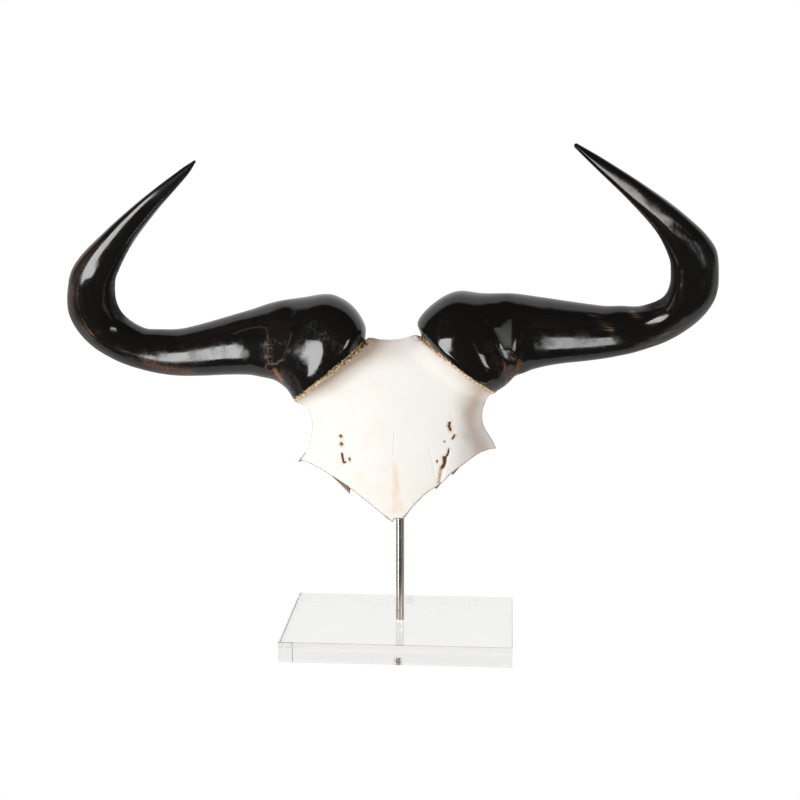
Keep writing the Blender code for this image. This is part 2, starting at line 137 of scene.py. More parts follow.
# Meshes
def addPiece(name, verts, faces, material, marks=None):
    mesh = bpy.data.meshes.new(name)
    mesh.from_pydata([tuple(v) for v in verts], [], faces)
    for mark, values in (marks or {}).items():
        values = np.asarray(values, np.float32)
        kind = "FLOAT_VECTOR" if values.ndim == 2 else "FLOAT"
        spot = mesh.attributes.new(mark, kind, "POINT")
        spot.data.foreach_set("vector" if values.ndim == 2 else "value", values.ravel())
    mesh.shade_smooth()
    piece = bpy.data.objects.new(name, mesh)
    bpy.context.scene.collection.objects.link(piece)
    piece.data.materials.append(material)
    return piece


def place(piece, node):
    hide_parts(node)
    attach(piece, "root")


# Materials
def newMaterial(name):
    material = bpy.data.materials.new(name)
    material.use_nodes = True
    return material, Paint(material.node_tree)


class Value:
    # one output socket, so that shader maths reads as an expression

    def __init__(self, paint, socket):
        self.paint, self.socket = paint, socket

    def maths(self, operation, first, second=0.0):
        return self.paint.node("Math", {"operation": operation}, {0: first, 1: second})

    def __add__(self, other):
        return self.maths("ADD", self, other)

    def __sub__(self, other):
        return self.maths("SUBTRACT", self, other)

    def __rsub__(self, other):
        return self.maths("SUBTRACT", other, self)

    def __mul__(self, other):
        return self.maths("MULTIPLY", self, other)

    def __abs__(self):
        return self.maths("ABSOLUTE", self)

    __radd__ = __add__
    __rmul__ = __mul__

    def least(self, other):
        return self.maths("MINIMUM", self, other)

    def step(self, low, high):
        # smooth rise from 0 at low to 1 at high
        settings = {"interpolation_type": "SMOOTHSTEP"}
        return self.paint.node("MapRange", settings, {"Value": self, "From Min": low, "From Max": high})

    def stretch(self, x, y, z):
        # a vector's parts times three numbers
        return self.paint.node("VectorMath", {"operation": "MULTIPLY"}, {0: self, 1: (x, y, z)})


class Paint:
    # one node tree and the few ways in which nodes are added to it

    def __init__(self, tree):
        self.tree = tree
        self.shader = tree.nodes.get("Principled BSDF")

    def node(self, kind, settings=None, sockets=None, out=0):
        made = self.tree.nodes.new("ShaderNode" + kind)
        for name, value in (settings or {}).items():
            setattr(made, name, value)
        for name, value in (sockets or {}).items():
            self.feed(made.inputs[name], value)
        return Value(self, made.outputs[out])

    def feed(self, socket, value):
        if isinstance(value, Value):
            self.tree.links.new(value.socket, socket)
        elif socket.type == "RGBA" and len(value) == 3:
            socket.default_value = (*value, 1.0)
        else:
            socket.default_value = value

    def set(self, sockets):
        for name, value in sockets.items():
            self.feed(self.shader.inputs[name], value)

    def matt(self, colour, normal, share):
        # lays a dull shader over the polished one where share is 1
        dull = self.node("BsdfPrincipled", {}, {
            "Base Color": colour, "Roughness": 0.8, "Specular IOR Level": 0.06, "Normal": normal,
        })
        polished = Value(self, self.shader.outputs[0])
        both = self.node("MixShader", {}, {0: share.least(1.0), 1: polished, 2: dull})
        self.feed(self.tree.nodes["Material Output"].inputs["Surface"], both)

    def mark(self, name, vector=False):
        return self.node("Attribute", {"attribute_name": name}, out="Vector" if vector else "Fac")

    def where(self):
        return self.node("TexCoord", out="Object")  # the piece's own coordinates, in metres

    def noise(self, vector, scale, detail=3.0, rough=0.55):
        sockets = {"Vector": vector, "Scale": scale, "Detail": detail, "Roughness": rough}
        return self.node("TexNoise", {}, sockets)

    def mix(self, share, first, second):
        return self.node("Mix", {"data_type": "RGBA"}, {0: share, 6: first, 7: second}, 2)

    def layers(self, colour, coats):
        # lays colours over the first one in turn, each where its share is 1
        for share, coat in coats:
            colour = self.mix(share, colour, coat)
        return colour

    def relief(self, height, distance, strength=1.0):
        return self.node("Bump", {}, {"Height": height, "Distance": distance, "Strength": strength})


# Horns. Each section: lower or outer edge and upper or inner edge as (outward, up), how far the
# middle lies behind the rod's axis, depth front to back, squareness, and how far its outer edge
# leans forward. Marks named matt hold back light where this form mirrors more than the real horn.
hornLeft = {
    "name": "hornLeft", "node": "horn_left", "side": -1,
    "edges": {
        "seat": ((96.5, 119.5), (24.3, 176.3), 4, 80, 2.4, -0.16),
        "nose": ((103, 129), (24.3, 192.3), 3.5, 83, 2.3, -0.2),
        "boss": ((112, 135), (37, 210.5), 9, 86, 2.3, -0.2),
        "crown": ((118, 138), (57, 220.3), 12, 80, 2.3, -0.12),
        "shoulder": ((127, 140.5), (84, 217.5), 14.2, 68, 2.3, 0),
        "neck": ((140, 142), (111, 213), 19.5, 61, 2.2, 0.06),
        "stemIn": ((157, 142), (141.5, 204), 23.5, 54, 2.1, 0.1),
        "stemOut": ((209, 140), (205.5, 187), 33, 46, 2, 0.1),
        "bendIn": ((241, 144), (232.3, 186.2), 35, 42, 2, 0.04),
        "bendLow": ((273, 155), (247, 188.3), 35, 41, 2, 0),
        "bendOut": ((301.5, 176.5), (263, 200), 31, 42, 2.1, 0),
        "bendSide": ((314.5, 205), (268, 213.5), 22.5, 43, 2.3, 0),
        "bendUp": ((312, 232), (267, 227.5), 14, 42, 2.5, -0.02),
        "hookIn": ((300.5, 256), (262.5, 241), 5, 38, 2.6, 0),
        "hookMid": ((266, 286.5), (243, 271), -9, 27, 2.7, 0.12),
        "hookHigh": ((226, 316), (212, 305), -25, 17, 2.6, 0.25),
        "hookThin": ((184, 343.5), (177.5, 338), -40, 9.5, 2.1, 0.1),
        "tip": ((170.5, 351), (168.7, 348.6), -47, 4.5, 2, 0),
    },
    # chains of points with a half width and a depth at each end
    "hollows": [([(-97, 206), (-101, 195), (-103, 186)], 8, 3.4, 1.4)],
    # outlines filled with a mark, and its depth
    "areas": [
        ("seam", [(-115.6, 192), (-116, 158), (-113, 148), (-105, 150), (-100.5, 164),
                  (-94.4, 180), (-91.6, 189), (-98, 198), (-107, 197)], 0.9),
    ],
    # mark, chain of points, half width and strength
    "lines": [
        ("pale", [(-150, 185.5), (-140, 189.5), (-124.1, 192.9), (-116.6, 191.5),
                  (-115.6, 186)], 0.6, 0.2),
        ("pale", [(-115.6, 186), (-115.4, 178), (-116.4, 158.8)], 0.6, 0.45),
        ("pale", [(-115.6, 157.8), (-108.5, 157.6), (-105.5, 160.5), (-100.9, 162.6)], 0.7, 0.6),
        ("pale", [(-91.4, 188), (-94.4, 179.8), (-100.9, 164.6)], 0.5, 0.3),
        ("orange", [(-111, 151), (-108, 146), (-105.5, 140.5)], 1.9, 0.75),
        ("crumb", [(-113.5, 178), (-114, 165), (-113.5, 158)], 2.3, 0.4),
        ("matt", [(-124, 171), (-112, 169), (-103, 166)], 8, 0.9),
        ("crumb", [(-118, 156), (-117, 148)], 2, 0.45),
        ("scuff", [(-73, 196), (-62, 189), (-52, 181), (-45.5, 175)], 6, 0.7),
        ("scuff", [(-76, 163), (-66, 152)], 5, 0.5),
        ("scuff", [(-97, 148), (-86, 133)], 6, 0.6),
        ("scuff", [(-83, 178), (-84, 160)], 6, 0.35),
        ("stainAndShadow", [(-243, 158.5), (-222, 150.6), (-196, 147)], 5, 1),
        ("stainAndShadow", [(-307, 225), (-305, 240), (-296, 256), (-276, 276)], 7, 0.8),
        ("stainAndShadow", [(-206, 178), (-170, 184), (-139, 193)], 6, 0.15),
        ("stainAndShadow", [(-110, 190), (-108, 150)], 12, 0.3),
        ("rust", [(-240, 156), (-222, 150), (-200, 146.5)], 3.5, 0.3),
        ("tan", [(-307, 231), (-304.5, 216), (-298, 199), (-290, 188)], 5, 1),
        ("tan", [(-268, 171), (-255, 163)], 3, 0.4),
        ("haze", [(-245, 158), (-200, 165), (-145, 172)], 16, 1),
        ("worn", [(-168, 352), (-190, 334), (-205, 322)], 10, 1),
        ("matt", [(-168, 352), (-186, 337), (-202, 324)], 7, 0.85),
        ("matt", [(-264, 203), (-270, 215), (-270, 229), (-265, 243),
                  (-247, 273)], 7, 0.9),
        ("matt", [(-101, 160), (-92.5, 141), (-87, 129)], 6.5, 0.9),
        ("matt", [(-26, 176), (-33, 189)], 4.5, 0.8),
        ("matt", [(-98, 169), (-89.5, 174.5), (-82, 181.5), (-72, 186)], 4.5, 0.85),
    ],
}
# the chip at the foot of the right boss
chipEdge = [(107, 159.5), (113.5, 161), (120, 157), (119, 149), (112, 137), (107, 146)]
hornRight = {
    "name": "hornRight", "node": "horn_right", "side": 1,
    "edges": {
        "seat": ((98.5, 124.8), (27, 180.5), 7.2, 80, 2.2, 0.09),
        "nose": ((103.5, 128.5), (24.8, 193), 5.4, 83, 2.2, 0.09),
        "boss": ((110, 132.5), (41.5, 210.5), 4.7, 86, 2.2, 0.08),
        "crown": ((116.5, 138), (62, 220), 8.8, 82, 2.3, 0.05),
        "shoulder": ((125, 141.5), (87, 217.5), 11, 70, 2.3, 0.06),
        "neck": ((135.5, 144.5), (115.5, 216), 17, 61, 2.2, 0.14),
        "stemIn": ((154, 147.5), (143.5, 210.5), 22.5, 55, 2.1, 0.26),
        "stemOut": ((205, 151.5), (199, 200.5), 31, 46, 2, 0.3),
        "bendIn": ((236.5, 157.5), (218.5, 200.2), 30, 42, 2, 0.16),
        "bendLow": ((263.5, 168), (234.8, 200), 25, 41, 2, 0),
        "bendOut": ((288.5, 187), (253.5, 207.5), 15, 42, 2.1, -0.1),
        "bendSide": ((303.5, 210.5), (260, 220.5), 4, 43, 2.3, -0.1),
        "bendUp": ((305.5, 236), (261, 236), -3, 41, 2.4, -0.04),
        "hookIn": ((300.3, 260), (259, 248.5), -9.5, 36, 2.3, 0),
        "hookMid": ((271.5, 290), (246, 274), -21, 24, 2.8, -0.1),
        "hookHigh": ((236, 317), (219.5, 304.5), -37, 15, 3, -0.21),
        "hookThin": ((195.5, 344), (188.5, 335.5), -50, 8.5, 2.6, -0.34),
        "tip": ((173.6, 357.2), (171, 353.2), -56, 4.5, 2, -0.34),
    },
    "hollows": [
        ([(93, 198), (95, 186), (99, 172), (105, 161)], 5, 2.6, 0.8),
        ([(47, 184), (53, 175), (61, 165)], 13, 0.8, 0.8),
        ([(106, 206), (106, 196), (106, 186)], 8, 3, 1),
        ([(114, 150), (117, 141), (112, 134)], 4.5, 1.6, 1.2),
    ],
    "areas": [
        ("dull", [(96.5, 190), (103, 190.5), (109.6, 196), (114.5, 196.5), (114, 170),
                  (106, 170.5)], 1.2),
        ("chip", chipEdge, 0.6),
    ],
    "lines": [
        ("groove", [(93.5, 196.5), (95.5, 186), (98.3, 174.9), (108.1, 158.6), (115.4, 154),
                    (120.2, 162.1)], 1.5, 1),
        ("groove", [(105.6, 169.4), (114.5, 169), (115.6, 196)], 1.3, 0.9),
        ("groove", [(107.7, 193.7), (121.7, 197.2), (140.4, 196.5), (159.2, 193.5),
                    (182, 187.8)], 0.8, 0.5),
        ("rust", chipEdge + chipEdge[:1], 1.2, 0.6),
        ("crumb", [(116, 161), (122, 155.5)], 1.6, 0.8),
        ("stainAndShadow", [(107, 158), (118, 150)], 7, 0.7),
        ("pale", [(78.5, 178), (86, 160), (91, 151)], 0.5, 0.25),
        ("scuff", [(52, 196), (47, 188)], 4, 0.3),
        ("scuff", [(93, 172), (101, 150)], 5, 0.4),
        ("tan", [(189, 195), (197, 188), (207, 181)], 2.6, 0.8),
        ("tan", [(227, 197), (234, 191)], 2.8, 1),
        ("tan", [(234, 162), (252.7, 170), (272, 186)], 5, 0.4),
        ("haze", [(130, 172), (165, 174), (205, 178)], 16, 1),
        ("matt", [(245, 201.5), (256, 209), (263, 222), (264, 236), (249, 275)], 5.5, 0.85),
        ("matt", [(261, 274), (269, 263), (275, 251), (278, 240)], 6, 0.9),
        ("matt", [(262.5, 279), (270.5, 274), (278.5, 267.5)], 9, 1),
        ("matt", [(278, 265), (283, 256.5), (286.5, 245.5), (288.5, 236)], 5.5, 0.95),
        ("matt", [(124, 144), (110, 131), (99, 125)], 6, 0.5),
        ("stainAndShadow", [(214, 319), (229.8, 306), (248.3, 288), (268, 270)], 5, 0.5),
        ("stainAndShadow", [(252, 196), (261, 212), (262, 230)], 6, 0.4),
        ("stainAndShadow", [(136, 190), (158.9, 185.5), (178, 180)], 6, 0.2),
        ("stainAndShadow", [(94, 178), (104, 163)], 5, 0.3),
    ],
}
hornForm = {
    "bossStep": 0.85, "hookStep": 1.5, "sides": 196,  # the mesh along and round the horn
    "seatGap": 0.45, "seatGapReach": 8.0,
    "rimRound": 2.0, "rimInset": 0.04,
    "tipPoint": 1.5,
    "hollowFade": 12.0, "areaSoft": 1.6,
    "markReach": 14.0,  # how far behind the rings' middle a mark still shows
    # size and height of the unevenness that hand polishing left
    "waves": ((26.0, 0.22), (10.0, 0.06), (4.5, 0.018)),
    "relief": {"pale": 0.25, "groove": -0.6, "crumb": 0.5, "tan": -0.25, "scuff": -0.03, "rust": 0.2},
    "fibreAcross": 1.5, "fibreAlong": 60.0, "fibreDepth": 0.10, "grainRadius": 22.0,
    "hookCalm": 0.6, "hookSmooth": 0.75,  # how much less waves and fibres show on the hook
}


class Horn:
    # a loft through one horn's sections, in outward, back and up millimetres

    def __init__(self, edges):
        rows = []
        for outer, inner, middle, depth, square, lean in edges.values():
            rows.append([*outer, *inner, middle, depth / 2, square, lean])
        self.rows = np.array(rows)
        steps = np.diff(self.rows, axis=0)
        outerSteps, innerSteps = np.hypot(*steps[:, 0:2].T), np.hypot(*steps[:, 2:4].T)
        self.places = np.concatenate([[0.0], np.cumsum((outerSteps + innerSteps) / 2)])
        self.named = dict(zip(edges, self.places))

    def middle(self, at):
        v = curveThrough(self.places, self.rows, np.clip(at, 0.0, self.places[-1]))
        return np.stack([(v[:, 0] + v[:, 2]) / 2, v[:, 4], (v[:, 1] + v[:, 3]) / 2], -1)

    def surface(self, at, angles):
        # points for every ring place and angle, and the middle of each ring
        v = curveThrough(self.places, self.rows, at)
        middle = self.middle(at)
        height = np.stack([(v[:, 0] - v[:, 2]) / 2, np.zeros(len(at)), (v[:, 1] - v[:, 3]) / 2], -1)
        along = self.middle(at + 1.5) - self.middle(at - 1.5)
        back = np.cross(along, height)
        back /= np.linalg.norm(back, axis=1)[:, None]
        back *= np.where(back[:, 1:2] < 0, -1.0, 1.0)
        lean = smoothStep(self.named["crown"], self.named["stemIn"], at)[:, None]
        back = np.array([0.0, 1.0, 0.0]) * (1 - lean) + back * lean
        back *= (v[:, 5] / np.linalg.norm(back, axis=1))[:, None]
        power = 2 / v[:, 6:7]
        c, s = np.cos(angles), np.sin(angles)
        across = np.sign(c) * np.abs(c) ** power
        behind = np.sign(s) * np.abs(s) ** power
        rim = np.clip(1.0 - at / hornForm["rimRound"], 0.0, 1.0)
        behind = behind * (1.0 - hornForm["rimInset"] * (1.0 - np.sqrt(1.0 - rim**2)))[:, None]
        points = middle[:, None] + height[:, None] * across[..., None] + back[:, None] * behind[..., None]
        points[..., 1] -= (v[:, 7] * np.linalg.norm(height, axis=1))[:, None] * across
        return points, middle


def gridNormals(points):
    # outward normals of a grid of rings
    around = np.roll(points, -1, axis=1) - np.roll(points, 1, axis=1)
    along = np.gradient(points, axis=0)
    normals = np.cross(around, along)
    normals /= np.linalg.norm(normals, axis=-1)[..., None] + 1e-12
    return normals


def hornMarks(spec, flat, facing):
    # what shows on a horn's front, as shares from 0 to 1, and how deep it lies
    ragged = roughness(inSpace(flat), 2.6, 5.0) + 0.6 * roughness(inSpace(flat), 1.2, 9.0)
    kinds = ("seam", "orange", "dull", "chip", "pale", "groove", "rust", "crumb", "scuff", "stainAndShadow", "tan",
             "haze", "worn", "matt")
    marks = {kind: np.zeros(len(flat)) for kind in kinds}
    depth = np.zeros(len(flat))
    for kind, corners, deep in spec["areas"]:
        sign = np.where(insideOutline(flat, np.array(corners)), 1.0, -1.0)
        inside = sign * near(flat, closed(corners)) + 0.5 * ragged
        marks[kind] = np.maximum(marks[kind], smoothStep(-0.3, 0.9, inside) * facing)
        depth = np.maximum(depth, deep * smoothStep(-0.4, hornForm["areaSoft"], inside))
    for kind, line, halfWidth, strength in spec["lines"]:
        away = np.maximum(near(flat, line) + 0.35 * halfWidth * ragged, 0.0)
        marks[kind] = np.maximum(marks[kind], strength * bump(away, halfWidth) * facing)
    return marks, depth


def ringPlaces(horn):
    # places of the rings along the horn, closer together round the boss
    neck, end = horn.named["stemIn"], horn.places[-1]
    return np.concatenate([
        np.linspace(0.0, neck, round(neck / hornForm["bossStep"]), endpoint=False),
        np.linspace(neck, end, round((end - neck) / hornForm["hookStep"]) + 1),
    ])


def grainOf(at, angles):
    # coordinates that run along the horn: two round it and one along it, in millimetres
    rings = [[hornForm["grainRadius"] * math.cos(a), hornForm["grainRadius"] * math.sin(a)] for a in angles]
    around = np.tile(np.array(rings), (len(at), 1))
    return np.concatenate([around, np.repeat(at, len(angles))[:, None]], axis=1)


def pressIn(spec, points, centres):
    # the points with hollows and damage pressed into the front, and the marks that show
    flat = points[..., [0, 2]].reshape(-1, 2)
    ahead = (centres - points)[..., 1]
    press = np.zeros(len(flat))
    for line, halfWidth, deepTop, deepFoot in spec["hollows"]:
        away, share = lineDistance(flat, line)
        press = np.maximum(press, (deepTop + (deepFoot - deepTop) * share) * bump(away, halfWidth))
    shown, depth = hornMarks(spec, flat, (ahead > -hornForm["markReach"]).ravel())
    press = np.maximum(press, depth).reshape(ahead.shape) * smoothStep(0.0, hornForm["hollowFade"], ahead)
    inward = centres - points
    inward /= np.linalg.norm(inward, axis=-1)[..., None] + 1e-9
    return points + inward * press[..., None], shown


def fibreShare(horn, at, angles):
    # fibres stand out round the outside of the bend and less along the hook and under the stem
    hook = smoothStep(horn.named["stemIn"], horn.named["bendLow"], at)
    hook *= 1.0 - hornForm["hookSmooth"] * smoothStep(horn.named["bendUp"], horn.named["hookMid"], at)
    outside = 0.1 + 0.9 * smoothStep(0.0, 0.75, np.cos(angles))
    return (hook[:, None] * outside).ravel()


def hornLift(flatPoints, side, calm, shown, grain, ridged):
    # how far the polish's waves, the marks and the fibres stand above the loft
    lift = np.zeros(len(flatPoints))
    for size, high in hornForm["waves"]:
        lift += high * (roughness(flatPoints, size, 3.0 * side) * calm - 1.0)
    grit = roughness(flatPoints, 1.8, 2.0)
    for kind, high in hornForm["relief"].items():
        lift += high * shown[kind] * (0.7 + 0.6 * grit)
    lift -= shown["seam"] * 0.3 * np.abs(roughness(flatPoints, 3.0, 4.0))
    stretched = grain / np.array([hornForm["fibreAcross"], hornForm["fibreAcross"], hornForm["fibreAlong"]])
    return lift - hornForm["fibreDepth"] * np.abs(roughness(stretched, 1.0, 7.0)) * ridged


def liftOffSeat(points, horn, at, side):
    # the first rings stand a little off the bone
    fade = 1.0 - smoothStep(0.0, hornForm["seatGapReach"], at)
    outer, inner = horn.rows[0][0:2], horn.rows[0][2:4]
    run = (outer - inner) / np.linalg.norm(outer - inner)
    shift = np.array([-run[1], run[0]]) * hornForm["seatGap"]
    points[..., 0] += side * shift[0] * fade[:, None]
    points[..., 2] += shift[1] * fade[:, None]


def ringFaces(rings, sides, flipped):
    # faces between the rings, then a fan to the tip and one to the middle of the seat
    faces = []
    for r in range(rings - 1):
        for i in range(sides):
            j = (i + 1) % sides
            faces.append((r * sides + i, r * sides + j, (r + 1) * sides + j, (r + 1) * sides + i))
    last = (rings - 1) * sides
    for i in range(sides):
        j = (i + 1) % sides
        faces.append((last + i, last + j, rings * sides))
        faces.append((j, i, rings * sides + 1))
    return [face[::-1] for face in faces] if flipped else faces


def makeHorn(spec, material):
    horn, side = Horn(spec["edges"]), spec["side"]
    at = ringPlaces(horn)
    angles = np.arange(hornForm["sides"]) * math.tau / hornForm["sides"]
    points, middle = horn.surface(at, angles)
    points[..., 0] *= side
    middle[:, 0] *= side
    centres = np.broadcast_to(middle[:, None], points.shape)
    points, shown = pressIn(spec, points, centres)
    normals = gridNormals(points) * -side
    normals *= np.sign(((points - centres) * normals).sum(-1).mean())
    flatPoints = points.reshape(-1, 3)
    ringAt = np.repeat(at, len(angles))
    calm = 1.0 - hornForm["hookCalm"] * smoothStep(horn.named["bendUp"], horn.named["hookMid"], ringAt)
    grain, ridged = grainOf(at, angles), fibreShare(horn, at, angles)
    lift = hornLift(flatPoints, side, calm, shown, grain, ridged)
    points = points + normals * lift.reshape(points.shape[:2])[..., None]
    points[0] = horn.surface(at[:1], angles)[0][0] * np.array([side, 1.0, 1.0])
    liftOffSeat(points, horn, at, side)
    along = middle[-1] - middle[-3]
    tip = middle[-1] + along / np.linalg.norm(along) * hornForm["tipPoint"]
    verts = np.concatenate([points.reshape(-1, 3), [tip], [middle[0]]])
    crust = roughness(flatPoints, 2.2, 6.0) + 0.5 * roughness(flatPoints, 1.1, 8.0)
    shown["crust"] = 1.0 - smoothStep(0.0, 0.7, ringAt - 0.7 - 1.6 * crust)
    shown["fibrous"] = ridged
    marks = {name: np.concatenate([values, [0.0, 0.0]]) for name, values in shown.items()}
    marks["grain"] = np.concatenate([grain, [[0, 0, at[-1]], [0, 0, 0]]]) * mm
    faces = ringFaces(len(at), len(angles), side < 0)
    piece = addPiece(spec["name"], toWorld(verts), faces, material, marks)
    place(piece, spec["node"])
    return piece


hornFinish = {
    "black": (0.0050, 0.0046, 0.0043),
    "brown": (0.046, 0.021, 0.013),
    "tan": (0.30, 0.19, 0.11),
    "grey": (0.045, 0.044, 0.043),
    "seam": (0.0100, 0.0074, 0.0062),
    "scuff": (0.045, 0.044, 0.043),
    "pale": (0.20, 0.175, 0.15),
    "orange": (0.34, 0.13, 0.07),
    "rust": (0.30, 0.12, 0.05),
    "crust": (0.80, 0.56, 0.30),
    "crevice": (0.06, 0.028, 0.012),
    "polish": 0.075, "ior": 1.56,
}


def hornMaterial(name, finish):
    material, paint = newMaterial(name)
    spot = paint.where()
    grain = paint.mark("grain", vector=True)
    fibrous, scuff, seam, dull = (paint.mark(kind) for kind in ("fibrous", "scuff", "seam", "dull"))
    tan, groove, chip, crust = (paint.mark(kind) for kind in ("tan", "groove", "chip", "crust"))
    streaks = paint.noise(grain.stretch(420.0, 420.0, 14.0), 1.0, 4.0, 0.6)
    threads = paint.noise(grain.stretch(1500.0, 1500.0, 34.0), 1.0, 2.0, 0.5)
    patches = paint.noise(grain.stretch(60.0, 60.0, 22.0), 1.0, 2.0, 0.5)
    cloud = paint.noise(spot, 85.0, 5.0, 0.7)
    grit = paint.noise(spot, 620.0, 3.0, 0.6)
    brown = streaks.step(0.52, 0.72) * patches.step(0.40, 0.65) * fibrous * 0.7
    pale = threads.step(0.66, 0.74) * patches.step(0.5, 0.7) * fibrous * 0.3
    rubbed = scuff * paint.noise(spot, 240.0, 6.0, 0.75).step(0.42, 0.72)
    crumbs = paint.mix(grit.step(0.42, 0.56), finish["crevice"], finish["crust"])
    colour = paint.layers(finish["black"], [
        (streaks.step(0.40, 0.62) * paint.mark("stainAndShadow"), finish["brown"]),
        (brown, finish["brown"]),
        (threads.step(0.52, 0.64) * patches.step(0.35, 0.6) * tan, finish["tan"]),
        (pale, finish["tan"]),
        (seam * 0.8, finish["seam"]),
        (dull, finish["grey"]),
        (rubbed, finish["scuff"]),
        (paint.mark("pale") * grit.step(0.3, 0.55), finish["pale"]),
        (paint.mark("crumb") * grit.step(0.50, 0.60), finish["tan"]),
        (paint.mark("orange") * grit.step(0.15, 0.5), finish["orange"]),
        (paint.mark("rust") * grit.step(0.35, 0.6), finish["rust"]),
        (groove, finish["black"]),
        (crust, crumbs),
    ])
    rough = cloud.step(0.42, 0.72) * 0.10 + streaks.step(0.45, 0.6) * fibrous * 0.30 + fibrous * 0.10
    rough = rough + paint.mark("haze") * (cloud.step(0.35, 0.65) * 0.12 + threads.step(0.4, 0.7) * 0.05)
    rough = rough + paint.mark("worn") * (0.25 + threads.step(0.4, 0.7) * 0.2)
    rough = rough + dull * 0.40 + chip * 0.15 + rubbed * 0.45 + finish["polish"]
    height = threads * fibrous * 0.8 + grit * (seam * 0.8 + scuff * 0.5 + 0.06) + cloud * 0.25
    normal = paint.relief(height, 0.00016, 0.4)
    paint.set({"Base Color": colour, "Roughness": rough, "IOR": finish["ior"], "Normal": normal})
    unpolished = seam * 0.8 + crust + groove * 0.8 + paint.mark("matt")
    for kind in ("rust", "crumb", "pale"):
        unpolished = unpolished + paint.mark(kind)
    paint.matt(colour, normal, unpolished)
    return material


# Bone plate, seen from the front in the skull's own frame
bone = {
    "lowerTip": [(7, 4.9), (-0.5, 4.6), (-3.3, 1.2)],
    "leftLowerEdge": [
        (-3.3, 1.2), (-18.9, 14.4), (-31.3, 24.8), (-49.9, 38.7),
        (-65, 47.1), (-83.2, 52.5), (-92.6, 53),
    ],
    "leftCorner": (-99.6, 50.2),
    "leftNotch": [(-89.1, 65), (-83.4, 78.2), (-80.8, 93.4), (-85.5, 109.3), (-92.5, 114.4)],
    "leftSeat": [(-96.5, 119.5), (-24.3, 176.3)],
    "crownEdge": [(-20.6, 180.9), (-7.3, 178.3), (8.8, 178.4), (22.9, 181.9)],
    "crownBackFall": 16,
    "rightSeat": [(98.5, 124.8), (27, 180.5)],
    "rightNotch": [(91, 118.4), (85.2, 105.1), (84, 96.4), (85.5, 86.8), (93.3, 70.4)],
    "rightCorner": (96.5, 62),
    "rightLowerEdge": [
        (89.5, 63), (79.2, 61.4), (64.4, 53.8), (54.9, 47.7),
        (44.9, 38.6), (29.4, 28.4), (18.1, 17.3), (7, 4.9),
    ],
    "leftCornerLevel": 56, "rightCornerLevel": 63,
    "face": -14, "bulge": 0.0022,
    "templeStart": 58, "templeSlope": 0.95, "templeEase": 16,
    "crownFall": 6, "crownFallFrom": 150, "crownFallTo": 184,
    "thickness": 6.5, "edgeThickness": 4.5, "edgeThinning": 12, "edgeRound": 1.6,
    "thickBack": 36, "backSeatShare": 0.84, "thickReach": 16, "thickFade": 26,
    "collarReach": 17, "collarFlare": 8, "collarInset": 4,
    "collarLip": 2.4, "lipPlace": 2.2, "lipWidth": 2.4,
    "flareFade": (12, 24), "waveFade": (6, 12),  # distances from the collar
    "waves": ((26, 0.30, 1), (8, 0.10, 2)),  # size, height and seed of the unevenness
    # start, end and depth
    "splinters": [
        (-65, -44, 7.5), (-19, -7, 1.6), (64, 55, 3.4), (45.5, 38, 3.6), (18.5, 8, 1.6),
    ],
    # middle, half width, half height, depth
    "pits": [
        ((-50.6, 85.6), 2.2, 2, 1.8), ((-50.3, 78), 2.4, 2.2, 1.8), ((-42.8, 63.2), 1.5, 2.1, 1.6),
        ((48.5, 79.1), 1.1, 1.1, 1), ((41.1, 60.3), 1.2, 1.8, 0.6),
    ],
    # chains of points, half width, depth
    "slits": [
        ([(-50.2, 68.5), (-49.6, 64.5), (-48.4, 59.6)], 1.4, 2),
        ([(-48.4, 59.6), (-46.8, 60.6)], 1.1, 1.6),
        ([(53.7, 96.6), (52.9, 93.5), (54.3, 89.9)], 1.7, 2.6),
        ([(58.1, 84.3), (56.1, 81.2)], 1.3, 2),
    ],
    "hairlines": [
        ([(1.5, 91.5), (0.4, 80), (-0.7, 66.2)], 0.45, 0.35),
        ([(34, 72.4), (35.4, 63.8), (37.1, 58.1), (38.1, 49.1), (39.4, 41.5)], 0.4, 0.5),
        ([(55.6, 110.1), (54.2, 102.6), (57.7, 98.8)], 0.5, 0.4),
        ([(-54, 60.9), (-53.8, 47.4)], 0.45, 0.25),
    ],
    "crackLeft": [
        (40.8, 38.5), (41.3, 40.4), (42.9, 48.8), (43.4, 53.4), (44.3, 54.2), (46.4, 57.6), (46.4, 62),
        (45.6, 64.3), (48.8, 64.8), (50.4, 66.8), (51, 68.9), (51.4, 72),
    ],
    "crackRight": [(46.5, 39.5), (48.4, 49), (50.6, 57), (52.6, 64.4), (53.2, 67.3), (54, 72)],
    "crackDepth": 3.4, "crackEnd": (72, 68), "crackDark": (50, 55),
    "rimLevels": (66, 58),  # the dark broken rim shows below these
    "peachStripe": ([(0.4, 66), (0.6, 45), (1.8, 14)], (2.8, 4, 5.4)),
    "stainReach": 7.5, "shadeInset": 11, "shadeWidth": 8,
    # spacing of the mesh and how far it keeps from the outline
    "grid": (1.5, 0.9), "fineGrid": (0.6, 0.5), "backGrid": (2.4, 1.2), "outlineStep": 1.3,
    # how far the fine mesh reaches from the seats, round pits and lines, and beside the crack
    "fineSeat": 8, "fineRound": 1, "fineCrack": 3,
}


def alongLine(line, share):
    return tuple(np.array(line[0]) * (1 - share) + np.array(line[1]) * share)


